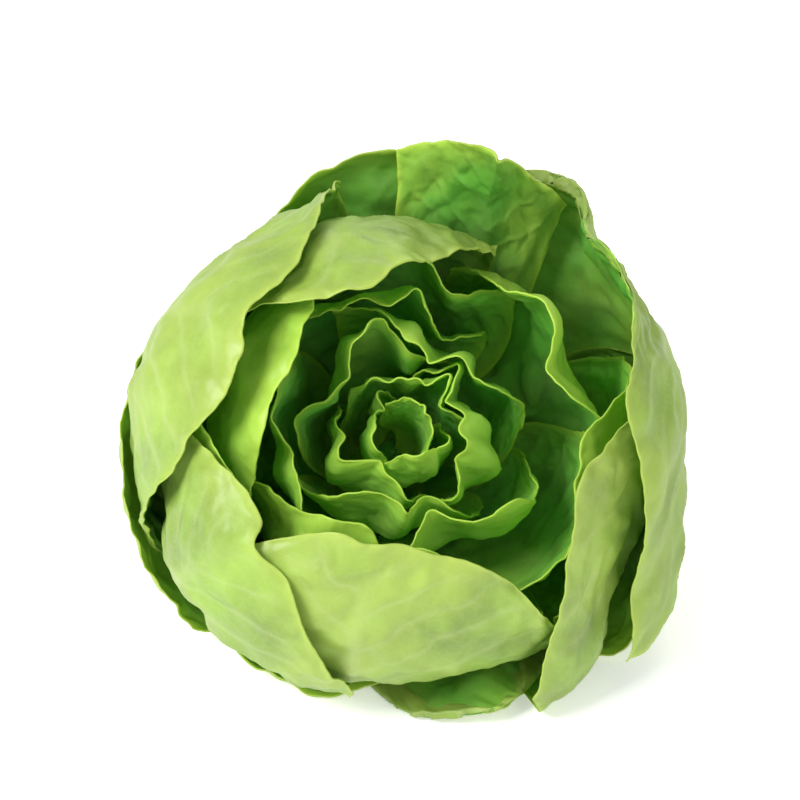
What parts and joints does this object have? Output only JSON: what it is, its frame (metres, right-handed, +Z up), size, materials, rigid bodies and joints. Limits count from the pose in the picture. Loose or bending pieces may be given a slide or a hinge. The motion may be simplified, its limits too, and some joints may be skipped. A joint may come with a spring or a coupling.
{
  "type": "butterhead lettuce",
  "caption": "Loose round head of butterhead lettuce, cut at the butt and lying tipped over on its outer leaves.",
  "frame": {"origin": "centre of the bounding box's base, on the surface that the head lies on", "axes": "+Z up from the surface; -Y is the way the open top of the head leans; +X to the right, seen from -Y"},
  "size_m": [0.197, 0.1772, 0.1641],
  "materials": {
    "heart_leaf": "fresh leaf, satin",
    "inner_leaf": "fresh leaf, satin",
    "outer_leaf": "fresh leaf, pale outer face, satin",
    "stem": "moist cut stem"
  },
  "bodies": {
    "root": {"heart_leaf_1": "heart_leaf", "heart_leaf_2": "heart_leaf", "heart_leaf_3": "heart_leaf", "heart_leaf_4": "heart_leaf", "heart_leaf_5": "heart_leaf", "heart_leaf_6": "heart_leaf", "heart_leaf_7": "heart_leaf", "heart_leaf_8": "heart_leaf", "heart_leaf_9": "heart_leaf", "heart_leaf_10": "heart_leaf", "heart_leaf_11": "heart_leaf", "heart_leaf_12": "heart_leaf", "heart_leaf_13": "heart_leaf", "inner_leaf_top": "inner_leaf", "inner_leaf_lower_left": "inner_leaf", "inner_leaf_lower_right": "inner_leaf", "inner_leaf_right": "inner_leaf", "inner_leaf_upper_left": "inner_leaf", "inner_leaf_bottom": "inner_leaf", "inner_leaf_far_right": "inner_leaf", "inner_leaf_left": "inner_leaf", "wrapper_leaf_top": "outer_leaf", "wrapper_leaf_bottom": "outer_leaf", "wrapper_leaf_top_right": "outer_leaf", "wrapper_leaf_lower_left": "outer_leaf", "wrapper_leaf_upper_left": "outer_leaf", "outer_leaf_bottom": "outer_leaf", "bottom_flap_leaf": "outer_leaf", "wrapper_leaf_lower_right": "outer_leaf", "outer_leaf_far_top": "outer_leaf", "outer_leaf_left": "outer_leaf", "outer_leaf_right": "outer_leaf", "outer_leaf_right_flap": "outer_leaf", "stem": "stem"}
  },
  "joints": []
}
